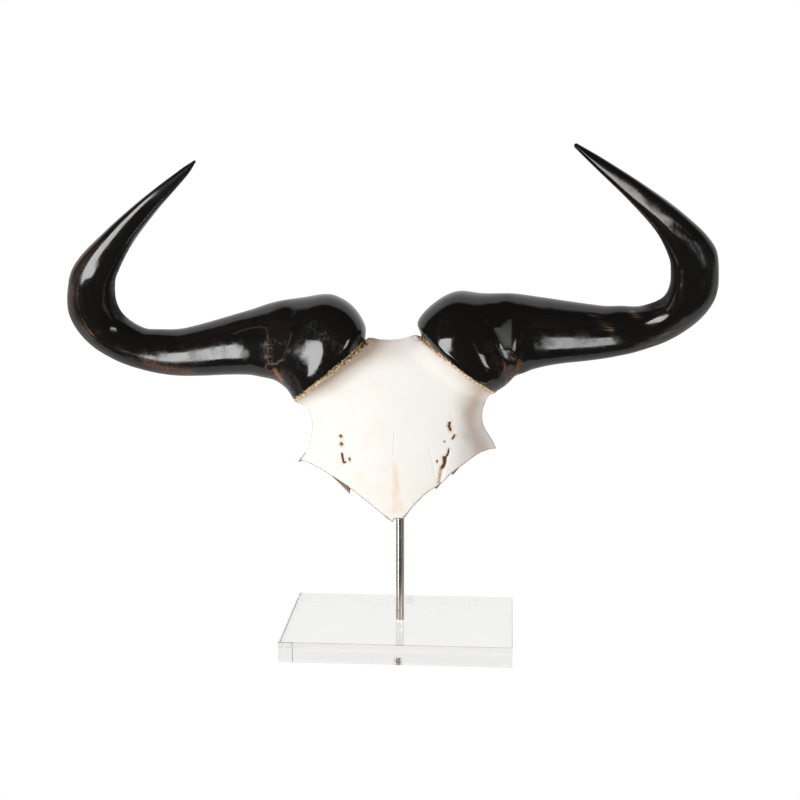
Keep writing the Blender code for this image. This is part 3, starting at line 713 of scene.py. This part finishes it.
def platePairs():
    # stretches of the front outline, each with its own back line or none
    leftBackTop, rightBackTop = (
        alongLine(bone[seat], bone["backSeatShare"]) for seat in ("leftSeat", "rightSeat")
    )
    lowered = [(x, z - bone["crownBackFall"]) for x, z in bone["crownEdge"]]
    crownBack = [leftBackTop] + lowered + [rightBackTop]
    return [
        (bone["leftLowerEdge"] + [bone["leftCorner"]], None),
        ([bone["leftCorner"]] + bone["leftNotch"] + [bone["leftSeat"][0]], None),
        (bone["leftSeat"], [bone["leftSeat"][0], leftBackTop]),
        ([bone["leftSeat"][1]] + bone["crownEdge"] + [bone["rightSeat"][1]], crownBack),
        (bone["rightSeat"][::-1], [rightBackTop, bone["rightSeat"][0]]),
        ([bone["rightSeat"][0]] + bone["rightNotch"] + [bone["rightCorner"]], None),
        ([bone["rightCorner"]] + bone["rightLowerEdge"], None),
    ]


def splinterDrop(x):
    drop = 0.0
    for start, end, deep in bone["splinters"]:
        share = (x - start) / (end - start)
        if 0.0 < share <= 1.0:
            drop = deep * share
    return drop


def plateOutlines():
    frontLine, backLine = [], []
    for frontRun, backRun in platePairs():
        points = evenPoints(frontRun, bone["outlineStep"])
        frontLine.append(points[:-1])
        backLine.append(points[:-1] if backRun is None else evenPoints(backRun, 1.0, len(points) - 1)[:-1])
    tail = evenPoints(bone["lowerTip"], bone["outlineStep"])[:-1]
    frontLine, backLine = np.concatenate(frontLine + [tail]), np.concatenate(backLine + [tail])
    for spot in backLine:
        level = bone["leftCornerLevel"] if spot[0] < 0 else bone["rightCornerLevel"]
        if spot[1] < level:
            spot[1] -= splinterDrop(spot[0])
    return frontLine, backLine


class Plate:
    # front and back depths of the bone over its front view

    def __init__(self, outline):
        self.ring = closed(outline)
        self.crown = bone["leftSeat"] + bone["rightSeat"][::-1]

    def seat(self, points):
        # distance to the horn seat on the same side, and that seat's front and back there
        results = []
        for seatLine, horn in ((bone["leftSeat"], hornLeft), (bone["rightSeat"], hornRight)):
            _, _, middle, depth, square, lean = horn["edges"]["seat"]
            away, along = lineDistance(points, seatLine)
            across = np.clip(1.0 - 2.0 * along, -1.0, 1.0) * (0.75 + 0.25 * np.exp(-away / 5.0))
            halfLength = math.dist(*seatLine) / 2
            reach = depth / 2 * (1.0 - np.abs(across) ** square) ** (1.0 / square) - bone["collarInset"]
            reach = np.maximum(reach, bone["edgeThickness"] / 2)
            centre = middle - lean * halfLength * across
            results.append((away, centre - reach, centre + reach))
        left = points[:, 0] < 0
        return [np.where(left, a, b) for a, b in zip(*results)]

    def bare(self, points):
        x, z = points.T
        wide = np.logaddexp(0.0, (np.abs(x) - bone["templeStart"]) / 4.0) * 4.0
        turn = bone["templeSlope"] * wide * wide / (wide + bone["templeEase"])
        fall = bone["crownFall"] * smoothStep(bone["crownFallFrom"], bone["crownFallTo"], z) ** 2
        return bone["face"] + bone["bulge"] * x * x + turn + fall

    def front(self, points):
        # depth of the front, and what shows on it
        away, seatFront, _ = self.seat(points)
        depth = self.bare(points)
        collar = np.exp(-away / bone["collarFlare"]) * (1.0 - smoothStep(*bone["flareFade"], away))
        depth += np.minimum(seatFront - depth, 0.0) * collar
        wide = inSpace(points)
        knobs = 0.5 + 0.6 * roughness(wide, 2.3, 5.0) + 0.5 * roughness(wide, 1.1, 9.0)
        lip = bump(away - bone["lipPlace"], bone["lipWidth"])
        depth -= bone["collarLip"] * lip * (knobs - 0.2)
        edge = near(points, self.ring)
        rounding = np.maximum(1.0 - edge / bone["edgeRound"], 0.0)
        depth += bone["edgeRound"] * rounding * rounding
        uneven = sum(high * roughness(wide, size, seed) for size, high, seed in bone["waves"])
        depth += smoothStep(*bone["waveFade"], away) * uneven
        damage, dark, halo = self.damage(points)
        x, z = points.T
        # the right collar is a thin line at its top, the left one dark there
        narrow = 2.2 * smoothStep(75.0, 50.0, x) * (x > 0)
        darker = 0.22 * smoothStep(-75.0, -40.0, x) * (x < 45.0)
        # painted shade: a taupe band follows the right notch, where the temple turns away from the light
        shadeLine = [bone["rightSeat"][0]] + bone["rightNotch"] + [bone["rightCorner"]]
        shadeAway = near(points, shadeLine) - bone["shadeInset"] - 3.0 * roughness(wide, 9.0, 6.0)
        marks = {
            "collar": 1.0 - smoothStep(2.0, 5.0, away + narrow + 1.6 * roughness(wide, 3.0, 4.0)),
            # crumb follows the knobs' height: the beads' own gold, with painted highlight on their tops and
            # painted shade between them
            "crumb": np.clip(knobs - darker, 0.0, 1.0),
            # brown stain together with painted shadow beside the collars
            "stainAndShadow": self.stainAndShadow(points, away),
            "dark": dark,
            "halo": halo,
            "peach": self.peach(points),
            "rim": (1.0 - smoothStep(0.0, bone["edgeRound"], edge)) * smoothStep(*bone["rimLevels"], z),
            "shade": bump(shadeAway, bone["shadeWidth"]) * (x > 50.0),
        }
        return depth + damage, marks

    def stainAndShadow(self, points, away):
        # soft brown stain and painted shadow of the horn bosses beside the collars: all along the left one,
        # at the foot of the right one
        x, z = points.T
        soft = np.exp(-away / bone["stainReach"])
        left = smoothStep(-100.0, -50.0, x) * smoothStep(5.0, -20.0, x)
        right = 0.7 * smoothStep(60.0, 80.0, x)
        # painted shade over the top of the crown, left of the middle
        crown = 0.5 * smoothStep(146.0, 178.0, z) * smoothStep(30.0, -10.0, x)
        return np.clip(soft * (0.6 + 1.7 * left + right) + crown, 0.0, 1.0)

    def damage(self, points):
        # depth, darkness and brown halo of the pits, slits, hairlines and the crack
        ragged = 0.35 * roughness(inSpace(points), 1.1, 6.0)
        depth, dark, halo = self.crack(points, ragged)
        holes = []
        for middle, halfWidth, halfHeight, deep in bone["pits"]:
            away = np.hypot(*((points - middle) / (halfWidth, halfHeight)).T) + ragged
            holes.append((away, deep, 0.35, 2.0))
        for line, halfWidth, deep in bone["slits"]:
            holes.append((near(points, line) / halfWidth + ragged, deep, 0.3, 2.2))
        for away, deep, floor, reach in holes:
            hole = 1.0 - smoothStep(floor, 1.0, away)
            depth, dark = np.maximum(depth, deep * hole), np.maximum(dark, hole)
            halo = np.maximum(halo, 1.0 - smoothStep(0.7, reach, away))
        for line, halfWidth, deep in bone["hairlines"]:
            hole = bump(near(points, line), halfWidth)
            depth, dark = np.maximum(depth, deep * hole), np.maximum(dark, 0.45 * hole)
        return depth, dark, halo

    def crack(self, points, ragged):
        # deep along its left line and rising to its right one
        x, z = points.T
        leftX, rightX = (np.interp(z, [p[1] for p in line], [p[0] for p in line])
                         for line in (bone["crackLeft"], bone["crackRight"]))
        share = (rightX - x) / (rightX - leftX)
        inCrack = (z > bone["crackLeft"][0][1]) & (z < bone["crackLeft"][-1][1]) & (share > 0) & (share < 1)
        depth = bone["crackDepth"] * np.where(inCrack, share, 0.0) * smoothStep(*bone["crackEnd"], z)
        upper = 0.25 + 0.75 * smoothStep(*bone["crackDark"], z)
        dark = np.where(inCrack, smoothStep(0.08, 0.5, share) * upper, 0.0)
        away = near(points, bone["crackLeft"]) + 3.0 * ragged
        return depth, dark, 0.8 * (1.0 - smoothStep(0.6, 2.6, away))

    def peach(self, points):
        line, widths = bone["peachStripe"]
        away, share = lineDistance(points, line)
        halfWidth = np.interp(share, [0.0, 0.5, 1.0], widths)
        ragged = 0.4 * roughness(np.column_stack([points, share]), 3.0)
        return (1.0 - smoothStep(0.3, 1.3, away / halfWidth + ragged)) * smoothStep(-0.02, 0.25, share)

    def back(self, points, depthInFront):
        away, _, seatBack = self.seat(points)
        thin = self.bare(points) + bone["thickness"]
        crownAway = near(points, self.crown)
        thinning = np.maximum(1.0 - near(points, self.ring) / bone["edgeThinning"], 0.0)
        thin -= (bone["thickness"] - bone["edgeThickness"]) * thinning
        thick = 1.0 - smoothStep(bone["thickReach"], bone["thickReach"] + bone["thickFade"], crownAway)
        depth = thin + (bone["thickBack"] - thin) * thick
        collar = 1.0 - smoothStep(0.0, bone["collarReach"], away)
        depth += (seatBack - depth) * collar
        wide = np.column_stack([points, depth])
        depth -= 0.5 + 0.5 * roughness(wide, 9.0, 8.0)
        return np.maximum(depth, depthInFront + bone["edgeThickness"] - bone["edgeRound"] / 2)


def gridSpots(outline, spacing, clearance):
    low, high = outline.min(0), outline.max(0)
    rowStep = spacing * math.sqrt(3) / 2
    rows, columns = int((high[1] - low[1]) / rowStep) + 1, int((high[0] - low[0]) / spacing) + 1
    r, c = np.divmod(np.arange(rows * columns), columns)
    spots = np.column_stack([low[0] + spacing * (c + 0.5 * (r % 2)), low[1] + rowStep * r])
    spots = spots[insideOutline(spots, outline)]
    return spots[near(spots, closed(outline)) > clearance]


def fineZone(spots):
    # how far each spot lies from what needs the finer mesh, 0 inside it
    gap = np.minimum(near(spots, bone["leftSeat"]), near(spots, bone["rightSeat"])) - bone["fineSeat"]
    for spot, halfWidth, halfHeight, _ in bone["pits"]:
        away = np.hypot(*(spots - spot).T)
        gap = np.minimum(gap, away - max(halfWidth, halfHeight) - bone["fineRound"])
    for line, halfWidth, _ in bone["slits"] + bone["hairlines"]:
        gap = np.minimum(gap, near(spots, line) - halfWidth - bone["fineRound"])
    for line in (bone["crackLeft"], bone["crackRight"]):
        gap = np.minimum(gap, near(spots, line) - bone["fineCrack"])
    return np.maximum(gap, 0.0)


def triangulate(outline, inner):
    loop = list(range(len(outline)))
    flat = [Vector(p) for p in np.concatenate([outline, inner])]
    verts, _, faces, _, _, _ = delaunay_2d_cdt(flat, [], [loop], 1, 1e-5)
    return np.array([tuple(v) for v in verts]), [tuple(f) for f in faces]


def makePlate(material):
    outline, backOutline = plateOutlines()
    plate = Plate(outline)
    coarse = gridSpots(outline, *bone["grid"])
    fine = gridSpots(outline, *bone["fineGrid"])
    inner = np.concatenate([coarse[fineZone(coarse) > 0.4], fine[fineZone(fine) == 0.0]])
    frontSpots, frontFaces = triangulate(outline, inner)
    backSpots, backFaces = triangulate(backOutline, gridSpots(backOutline, *bone["backGrid"]))
    frontDepth, marks = plate.front(frontSpots)
    behindFront, _ = plate.front(backSpots)
    backDepth = plate.back(backSpots, behindFront)
    print("bone", len(frontSpots), "front and", len(backSpots), "back points")
    start, count = len(frontSpots), len(outline)
    verts = np.concatenate([
        np.column_stack([frontSpots[:, 0], frontDepth, frontSpots[:, 1]]),
        np.column_stack([backSpots[:, 0], backDepth, backSpots[:, 1]]),
    ])
    faces = list(frontFaces) + [tuple(start + i for i in face[::-1]) for face in backFaces]
    for i in range(count):
        j = (i + 1) % count
        faces.append((j, i, start + i, start + j))
    backEdge = near(backSpots, closed(backOutline))
    backRim = (1.0 - smoothStep(0.5, 3.0, backEdge)) * smoothStep(*bone["rimLevels"], backSpots[:, 1])
    for name in marks:
        marks[name] = np.concatenate([marks[name], backRim if name == "rim" else np.zeros(len(backSpots))])
    piece = addPiece("bonePlate", toWorld(verts), faces, material, marks)
    place(piece, "skull_plate")
    return piece


boneFinish = {
    "pale": (0.885, 0.865, 0.828),
    "cream": (0.88, 0.825, 0.745),
    "peach": (0.86, 0.67, 0.50),
    "brown": (0.17, 0.08, 0.03),
    "halo": (0.66, 0.39, 0.19),
    # taupe for the painted shade on the right temple
    "templeShade": (0.50, 0.39, 0.31),
    # brown for stains, also used for the painted shadow beside the bone's collars
    "stainAndShadow": (0.34, 0.215, 0.125),
    # collar beads: the crevice and crumb colours also paint shade between the knobs and highlight on their
    # tops
    "crevice": (0.13, 0.062, 0.026),
    "collar": (0.60, 0.41, 0.22),
    "crumb": (1.0, 0.87, 0.63),
    "rim": (0.27, 0.15, 0.075),
    "roughness": 0.62,
}


def boneMaterial(name, finish):
    material, paint = newMaterial(name)
    spot = paint.where()
    mottle = paint.noise(spot, 38.0, 4.0, 0.6)
    streaks = paint.noise(spot.stretch(260.0, 260.0, 24.0), 1.0, 4.0, 0.6)
    stripe = paint.mark("peach") * paint.noise(spot.stretch(400.0, 400.0, 60.0), 1.0, 3.0).step(0.3, 0.7)
    crumb, halo = paint.mark("crumb"), paint.mark("halo")
    # the beads' gold, painted dark between the knobs as shade and bright on their tops as highlight
    beads = paint.layers(finish["crevice"], [
        (crumb.step(0.15, 0.45), finish["collar"]),
        (crumb.step(0.5, 0.8), finish["crumb"]),
    ])
    colour = paint.layers(finish["pale"], [
        (mottle.step(0.42, 0.72), finish["cream"]),
        (streaks.step(0.5, 0.75) * 0.5, finish["cream"]),
        (stripe * 0.9, finish["peach"]),
        # brown stain and painted shadow beside the collars and at the crown
        (paint.mark("stainAndShadow") * 0.8, finish["stainAndShadow"]),
        # painted shade on the right temple
        (paint.mark("shade") * 0.68, finish["templeShade"]),
        (paint.mark("rim") * 0.9, finish["rim"]),
        (paint.mark("collar"), beads),
        (halo * paint.noise(spot, 300.0, 3.0).step(0.35, 0.6) * 0.75, finish["halo"]),
        (paint.mark("dark").step(0.2, 0.85), finish["brown"]),
    ])
    pores = paint.noise(spot, 1300.0, 3.0, 0.7)
    grain = paint.noise(spot.stretch(500.0, 500.0, 120.0), 1.0, 4.0, 0.6)
    normal = paint.relief(pores * 0.3 + grain * 0.7, 0.00025, 0.35)
    paint.set({
        "Base Color": colour, "Roughness": finish["roughness"],
        "Specular IOR Level": 0.35, "Normal": normal,
    })
    return material


# Rod
rod = {
    "radius": 4.0, "low": 10.0, "high": 250.0, "edge": 0.4, "sides": 96,
    "steel": (0.43, 0.395, 0.355), "roughness": 0.2,
}


def turned(profile, sides):
    # closed turned form from (radius, height) pairs, first and last on the axis
    verts = [(0.0, 0.0, profile[0][1])]
    for radius, high in profile[1:-1]:
        for i in range(sides):
            angle = math.tau * i / sides
            verts.append((radius * math.cos(angle), radius * math.sin(angle), high))
    verts.append((0.0, 0.0, profile[-1][1]))
    faces = []
    for i in range(sides):
        j = (i + 1) % sides
        faces.append((0, 1 + j, 1 + i))
        for r in range(len(profile) - 3):
            a, b = 1 + r * sides, 1 + (r + 1) * sides
            faces.append((a + i, a + j, b + j, b + i))
        top = 1 + (len(profile) - 3) * sides
        faces.append((top + i, top + j, len(verts) - 1))
    return np.array(verts) * mm, faces


def makeRod(material):
    r, e, low, high = rod["radius"], rod["edge"], rod["low"], rod["high"]
    profile = [(0, low), (r - e, low), (r, low + e), (r, high - e), (r - e, high), (0, high)]
    verts, faces = turned(profile, rod["sides"])
    piece = addPiece("standRod", verts, faces, material)
    piece.data.set_sharp_from_angle(angle=math.radians(30.0))
    place(piece, "rod")
    return piece


def steelMaterial(name, finish):
    material, paint = newMaterial(name)
    spot = paint.where()
    rings = paint.noise(spot.stretch(60.0, 60.0, 9000.0), 1.0, 2.0, 0.6)
    drawn = paint.noise(spot.stretch(5000.0, 5000.0, 20.0), 1.0, 2.0, 0.6)
    rough = finish["roughness"] + drawn * 0.10 + rings * 0.04
    normal = paint.relief(drawn, 0.00002, 0.25)
    tone = paint.mix(drawn.step(0.3, 0.7), finish["steel"], tuple(0.9 * c for c in finish["steel"]))
    paint.set({"Base Color": tone, "Metallic": 1.0, "Roughness": rough, "Normal": normal})
    return material


# Block
block = {
    "width": 220.0, "depth": 150.0, "height": 20.0, "edge": 0.6,
    "socketDepth": 10.3, "socketRadius": 4.06, "ior": 1.49,
    "tint": (0.85, 0.848, 0.838), "sawn": (0.87, 0.865, 0.847),
}


def makeBlock(material):
    mesh = bpy.data.meshes.new("standBlock")
    work = bmesh.new()
    bmesh.ops.create_cube(work, size=1.0)
    size = (block["width"] * mm, block["depth"] * mm, block["height"] * mm)
    bmesh.ops.scale(work, vec=size, verts=work.verts)
    bmesh.ops.translate(work, vec=(0.0, 0.0, block["height"] / 2 * mm), verts=work.verts)
    bmesh.ops.bevel(
        work, geom=work.edges[:], offset=block["edge"] * mm, segments=3, affect="EDGES", profile=0.5,
    )
    work.to_mesh(mesh)
    work.free()
    piece = bpy.data.objects.new("standBlock", mesh)
    bpy.context.scene.collection.objects.link(piece)
    mesh.materials.append(material)
    low, high = block["height"] - block["socketDepth"], block["height"] + block["socketDepth"]
    r = block["socketRadius"]
    verts, faces = turned([(0, low), (r, low), (r, high), (0, high)], rod["sides"])
    drill = addPiece("socketDrill", verts, faces, material)
    cut = piece.modifiers.new("rod hole", "BOOLEAN")
    cut.operation = "DIFFERENCE"
    cut.object = drill
    bpy.context.view_layer.update()
    shaped = bpy.data.meshes.new_from_object(piece.evaluated_get(bpy.context.evaluated_depsgraph_get()))
    piece.modifiers.clear()
    piece.data = shaped
    bpy.data.objects.remove(drill)
    shaped.shade_smooth()
    shaped.set_sharp_from_angle(angle=math.radians(12.0))
    place(piece, "base")
    return piece


def acrylicMaterial(name, finish):
    material, paint = newMaterial(name)
    wipes = paint.noise(paint.where().stretch(30.0, 90.0, 60.0), 1.0, 3.0, 0.6)
    facing = {0: paint.node("NewGeometry", out="Normal"), 1: (0, 0, 1)}
    upright = paint.node("VectorMath", {"operation": "DOT_PRODUCT"}, facing, "Value")
    tint = paint.mix(abs(upright).step(0.3, 0.9), finish["sawn"], finish["tint"])
    paint.set({
        "Base Color": tint, "Roughness": wipes.step(0.55, 0.8) * 0.02,
        "Transmission Weight": 1.0, "IOR": finish["ior"],
    })
    return material


# Studio
studio = {
    "camera": (0.1008, -1.4329, 0.5169), "tilt": 10.97, "turn": 4.026, "lens": 69.05,
    "floorFront": -0.085, "floorBack": 3.0, "floorHalf": 2.4,
    "floorGap": 0.0003, "floorGlow": 0.93,
    # azimuth (0 towards the viewer, positive to the right), elevation, distance, width, height, power
    "boxes": [(-45.0, -9.0, 1.35, 0.42, 0.85, 10.0), (37.5, -1.0, 1.35, 0.33, 0.75, 7.0)],
    "aim": (0.0, 0.0, 0.30),
    "fill": 0.42, "fillLeft": 0.5, "fillBelow": 0.35,  # brighter from the left and from below
    # what mirrors see: white behind, dark in front, and where one turns into the other
    "backWhite": 0.75, "frontDark": 0.008, "sideDark": 0.2, "skyLean": 0.15, "whiteFrom": (-0.03, 0.16),
}


def glossyRays(paint):
    # 1 for mirrored rays, but not for those that went through the block
    through = paint.node("LightPath", out="Is Transmission Ray")
    return paint.node("LightPath", out="Is Glossy Ray") * (1 - through)


def makeFloor():
    material, paint = newMaterial("paleFloor")
    paint.set({
        "Base Color": (0.3, 0.3, 0.3), "Roughness": 0.9, "Specular IOR Level": 0.0,
        "Emission Color": paint.mix(glossyRays(paint), (1.0, 1.0, 1.0), (0.5, 0.5, 0.5)),
        "Emission Strength": studio["floorGlow"],
    })
    half, start, end = studio["floorHalf"], studio["floorFront"], studio["floorBack"]
    level = -studio["floorGap"]
    corners = [(-half, start, level), (half, start, level), (half, end, level), (-half, end, level)]
    addPiece("floor", corners, [(0, 1, 2, 3)], material)


def makeSoftboxes():
    aim = Vector(studio["aim"])
    for number, (azimuth, elevation, distance, width, height, power) in enumerate(studio["boxes"]):
        a, e = math.radians(azimuth), math.radians(elevation)
        way = Vector((math.sin(a) * math.cos(e), -math.cos(a) * math.cos(e), math.sin(e)))
        light = bpy.data.lights.new(f"softbox{number}", "AREA")
        light.shape = "RECTANGLE"
        light.size, light.size_y = width, height
        light.energy = power * width * height * math.pi  # power is the box's brightness
        lamp = bpy.data.objects.new(light.name, light)
        lamp.location = aim + way * distance
        lamp.rotation_euler = (-way).to_track_quat("-Z", "Y").to_euler()
        bpy.context.scene.collection.objects.link(lamp)


def makeSurroundings():
    # mirrors see white behind and dark in front, where the camera stands, and the eye sees plain white
    world = bpy.data.worlds.new("studio")
    bpy.context.scene.world = world
    world.use_nodes = True
    air = Paint(world.node_tree)
    glossy = glossyRays(air)
    diffuse = air.node("LightPath", out="Is Diffuse Ray")
    way = air.node("TexCoord", out="Generated")
    x, y, z = (air.node("SeparateXYZ", {}, {0: way}, part) for part in "XYZ")
    behind = (y - z * studio["skyLean"] - abs(x) * studio["sideDark"]).step(*studio["whiteFrom"])
    mirror = behind * (studio["backWhite"] - studio["frontDark"]) + studio["frontDark"]
    fill = studio["fill"] * (1 - x * studio["fillLeft"]) * (1 - z * studio["fillBelow"])
    level = glossy * mirror + diffuse * fill + (1 - glossy) * (1 - diffuse)
    ground = world.node_tree.nodes["Background"]
    air.feed(ground.inputs["Color"], (1.0, 1.0, 1.0))
    air.feed(ground.inputs["Strength"], level)


def makeCamera():
    lens = bpy.data.cameras.new("camera")
    lens.lens, lens.sensor_width = studio["lens"], 36.0
    camera = bpy.data.objects.new("camera", lens)
    camera.location = studio["camera"]
    camera.rotation_euler = (math.radians(90.0 - studio["tilt"]), 0.0, math.radians(studio["turn"]))
    bpy.context.scene.collection.objects.link(camera)
    bpy.context.scene.camera = camera
    bpy.context.scene.view_settings.view_transform = "Standard"


makeFloor()
makeSoftboxes()
makeSurroundings()
makeCamera()
print("studio ready")
hornCoat = hornMaterial("polishedHorn", hornFinish)
makeHorn(hornLeft, hornCoat)
makeHorn(hornRight, hornCoat)
print("horns ready")
makePlate(boneMaterial("weatheredBone", boneFinish))
print("bone ready")
makeRod(steelMaterial("polishedSteel", rod))
makeBlock(acrylicMaterial("clearAcrylic", block))
print("stand ready")
